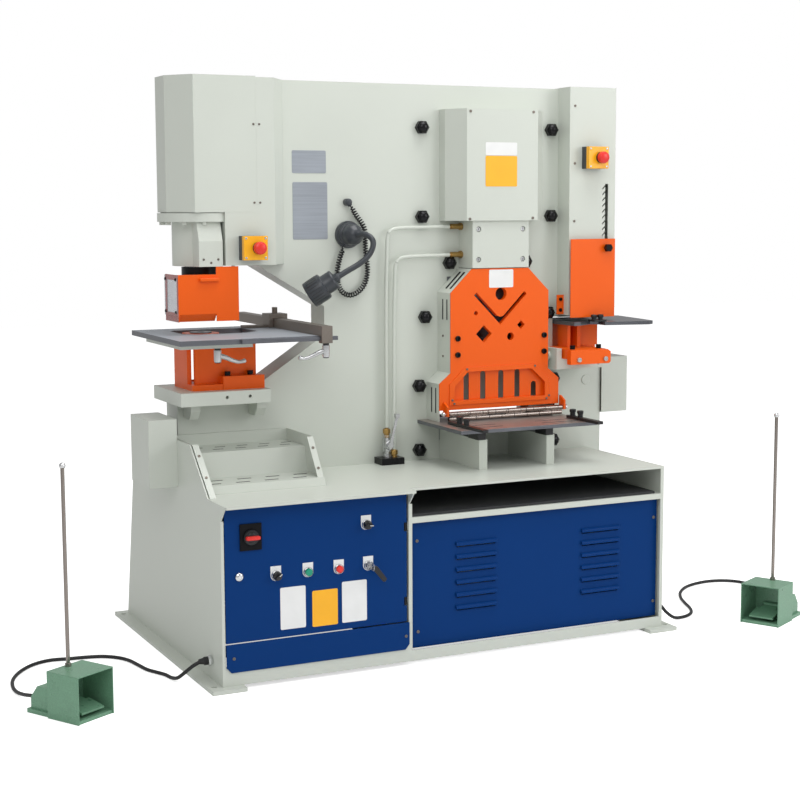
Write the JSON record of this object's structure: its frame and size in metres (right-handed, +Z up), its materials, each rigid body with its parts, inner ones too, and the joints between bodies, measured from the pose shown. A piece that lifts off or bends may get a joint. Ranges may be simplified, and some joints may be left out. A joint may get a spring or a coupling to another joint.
{
  "type": "hydraulic punching machine",
  "caption": "Floor-standing hydraulic ironworker with a punching station, a section and flat-bar shear, a corner notcher, a cabinet and cabled foot switches.",
  "frame": {"origin": "centre of the anchor bolt rectangle, on the floor", "axes": "+Z up, -Y the operator's side, +X from the punching station to the notcher"},
  "size_m": [2.7343, 1.1572, 1.7938],
  "materials": {
    "paint_grey": "semi-gloss powder coat",
    "paint_blue": "semi-gloss powder coat",
    "paint_orange": "gloss paint",
    "dark_steel": "blued and ground",
    "bright_steel": "satin",
    "chrome_steel": "polished",
    "brown_steel": "browned",
    "rubber": "ribbed",
    "yellow_plastic": "moulded",
    "red_plastic": "moulded",
    "green_plastic": "moulded",
    "black_plastic": "matte",
    "dark_paint": "satin",
    "machine_grey": "satin",
    "pedal_green": "hammered"
  },
  "bodies": {
    "machine": {"front_frame_plate": "paint_grey", "rear_frame_plate": "paint_grey", "frame_spacers": "paint_grey", "foot_plates": "paint_grey", "cabinet_sides": "paint_grey", "cabinet_front": "paint_grey", "cabinet_sheets": "paint_grey", "rubber_mat": "rubber", "fixed_panels": "paint_blue", "tool_rack": "paint_grey", "side_boxes": "paint_grey", "head_box": "paint_grey", "punch_cylinder": "paint_grey", "cylinder_hood": "paint_grey", "bed_blocks": "paint_grey", "die_support": "paint_orange", "tool_steel": "dark_steel", "punch_table": "dark_steel", "shear_guard": "paint_orange", "guard_housing": "paint_grey", "shear_table": "dark_steel", "shear_stand": "paint_grey", "shear_cylinder": "paint_grey", "cylinder_cover": "paint_grey", "notcher_cover": "paint_grey", "notch_table": "dark_steel", "notch_die_block": "paint_orange", "hydraulic_lines": "paint_grey", "estop_boxes": "yellow_plastic", "work_lamp": "dark_paint", "lamp_cord": "black_plastic", "power_pack": "machine_grey", "electrical_plate": "bright_steel", "pedal_housings": "pedal_green", "pedal_cord_left": "black_plastic", "pedal_cord_right": "black_plastic"},
    "punch_ram": {"punch_ram": "bright_steel"},
    "punch_guard": {"punch_guard": "paint_orange"},
    "shear_beam": {"shear_beam": "dark_steel"},
    "notcher_guard": {"notcher_guard": "paint_orange"},
    "roller_flap": {"roller_flap": "chrome_steel"},
    "estop_button_left": {"estop_button_left": "red_plastic"},
    "estop_button_right": {"estop_button_right": "red_plastic"},
    "electrical_door": {"electrical_door": "paint_blue"},
    "main_switch": {"main_switch": "red_plastic"},
    "mode_selector": {"mode_selector": "black_plastic"},
    "feed_selector": {"feed_selector": "black_plastic"},
    "key_switch": {"key_switch": "bright_steel"},
    "start_button": {"start_button": "green_plastic"},
    "stop_button": {"stop_button": "red_plastic"},
    "fence": {"fence": "brown_steel"},
    "fence_stop": {"fence_stop": "dark_steel"},
    "clamp_lever_left": {"clamp_lever_left": "bright_steel"},
    "clamp_lever_right": {"clamp_lever_right": "bright_steel"},
    "side_guide_left": {"side_guide_left": "black_plastic"},
    "side_guide_right": {"side_guide_right": "black_plastic"},
    "notch_stop": {"notch_stop": "black_plastic"},
    "valve_lever": {"valve_lever": "bright_steel"},
    "treadle_left": {"treadle_left": "pedal_green"},
    "treadle_right": {"treadle_right": "pedal_green"}
  },
  "joints": [
    {"name": "punch_stroke", "type": "slide", "parent": "machine", "child": "punch_ram", "axis": [0, 0, -1], "range_m": [0, 0.08]},
    {"name": "punch_guard_hinge", "type": "hinge", "parent": "machine", "child": "punch_guard", "pos_m": [-0.56, -0.062, 1.168], "axis": [0, 0, 1], "range_deg": [0, 90]},
    {"name": "shear_stroke", "type": "slide", "parent": "machine", "child": "shear_beam", "axis": [0, 0, -1], "range_m": [0, 0.038]},
    {"name": "notcher_guard_lift", "type": "slide", "parent": "machine", "child": "notcher_guard", "axis": [0, 0, 1], "range_m": [0, 0.15]},
    {"name": "flap_hinge", "type": "hinge", "parent": "machine", "child": "roller_flap", "pos_m": [0.3825, -0.111, 0.711], "axis": [-1, 0, 0], "range_deg": [0, 60]},
    {"name": "estop_left_press", "type": "slide", "parent": "machine", "child": "estop_button_left", "axis": [0, 1, 0], "range_m": [0, 0.006], "stiffness_N_per_m": 1500, "springref_m": -0.002},
    {"name": "estop_right_press", "type": "slide", "parent": "machine", "child": "estop_button_right", "axis": [0, 1, 0], "range_m": [0, 0.006], "stiffness_N_per_m": 1500, "springref_m": -0.002},
    {"name": "door_hinge", "type": "hinge", "parent": "machine", "child": "electrical_door", "pos_m": [-0.174, -0.478, 0.33], "axis": [0, 0, 1], "range_deg": [0, 90]},
    {"name": "main_switch_turn", "type": "hinge", "parent": "electrical_door", "child": "main_switch", "pos_m": [-0.674, -0.485, 0.448], "axis": [0, 1, 0], "range_deg": [0, 90]},
    {"name": "mode_selector_turn", "type": "hinge", "parent": "electrical_door", "child": "mode_selector", "pos_m": [-0.597, -0.485, 0.327], "axis": [0, 1, 0], "range_deg": [-45, 45]},
    {"name": "feed_selector_turn", "type": "hinge", "parent": "electrical_door", "child": "feed_selector", "pos_m": [-0.307, -0.485, 0.452], "axis": [0, 1, 0], "range_deg": [-45, 45]},
    {"name": "key_switch_turn", "type": "hinge", "parent": "electrical_door", "child": "key_switch", "pos_m": [-0.301, -0.485, 0.327], "axis": [0, 1, 0], "range_deg": [0, 60]},
    {"name": "start_button_press", "type": "slide", "parent": "electrical_door", "child": "start_button", "axis": [0, 1, 0], "range_m": [0, 0.004], "stiffness_N_per_m": 800, "springref_m": -0.002},
    {"name": "stop_button_press", "type": "slide", "parent": "electrical_door", "child": "stop_button", "axis": [0, 1, 0], "range_m": [0, 0.004], "stiffness_N_per_m": 800, "springref_m": -0.002},
    {"name": "fence_slide", "type": "slide", "parent": "machine", "child": "fence", "axis": [1, 0, 0], "range_m": [-0.2, 0.015]},
    {"name": "fence_stop_slide", "type": "slide", "parent": "fence", "child": "fence_stop", "axis": [0, 1, 0], "range_m": [-0.1, 0.2]},
    {"name": "table_clamp_turn", "type": "hinge", "parent": "machine", "child": "clamp_lever_left", "pos_m": [-0.659, -0.185, 0.95], "axis": [0, 0, 1], "range_deg": [-60, 60]},
    {"name": "fence_clamp_turn", "type": "hinge", "parent": "fence", "child": "clamp_lever_right", "pos_m": [-0.345, -0.283, 0.962], "axis": [0, 0, 1], "range_deg": [-60, 60]},
    {"name": "side_guide_left_slide", "type": "slide", "parent": "machine", "child": "side_guide_left", "axis": [1, 0, 0], "range_m": [0, 0.13]},
    {"name": "side_guide_right_slide", "type": "slide", "parent": "machine", "child": "side_guide_right", "axis": [1, 0, 0], "range_m": [-0.13, 0.01]},
    {"name": "notch_stop_slide", "type": "slide", "parent": "machine", "child": "notch_stop", "axis": [1, 0, 0], "range_m": [-0.05, 0.05]},
    {"name": "valve_turn", "type": "hinge", "parent": "machine", "child": "valve_lever", "pos_m": [-0.021, -0.056, 0.612], "axis": [0, 1, 0], "range_deg": [0, 90]},
    {"name": "treadle_left_press", "type": "hinge", "parent": "machine", "child": "treadle_left", "pos_m": [-1.213, -0.4782, 0.046], "axis": [0.866, 0.5, 0], "range_deg": [0, 5], "stiffness_Nm_per_rad": 4, "springref_deg": -6.88},
    {"name": "treadle_right_press", "type": "hinge", "parent": "machine", "child": "treadle_right", "pos_m": [1.18259, -0.53324, 0.046], "axis": [0.4695, -0.8829, 0], "range_deg": [0, 5], "stiffness_Nm_per_rad": 4, "springref_deg": -6.88}
  ]
}
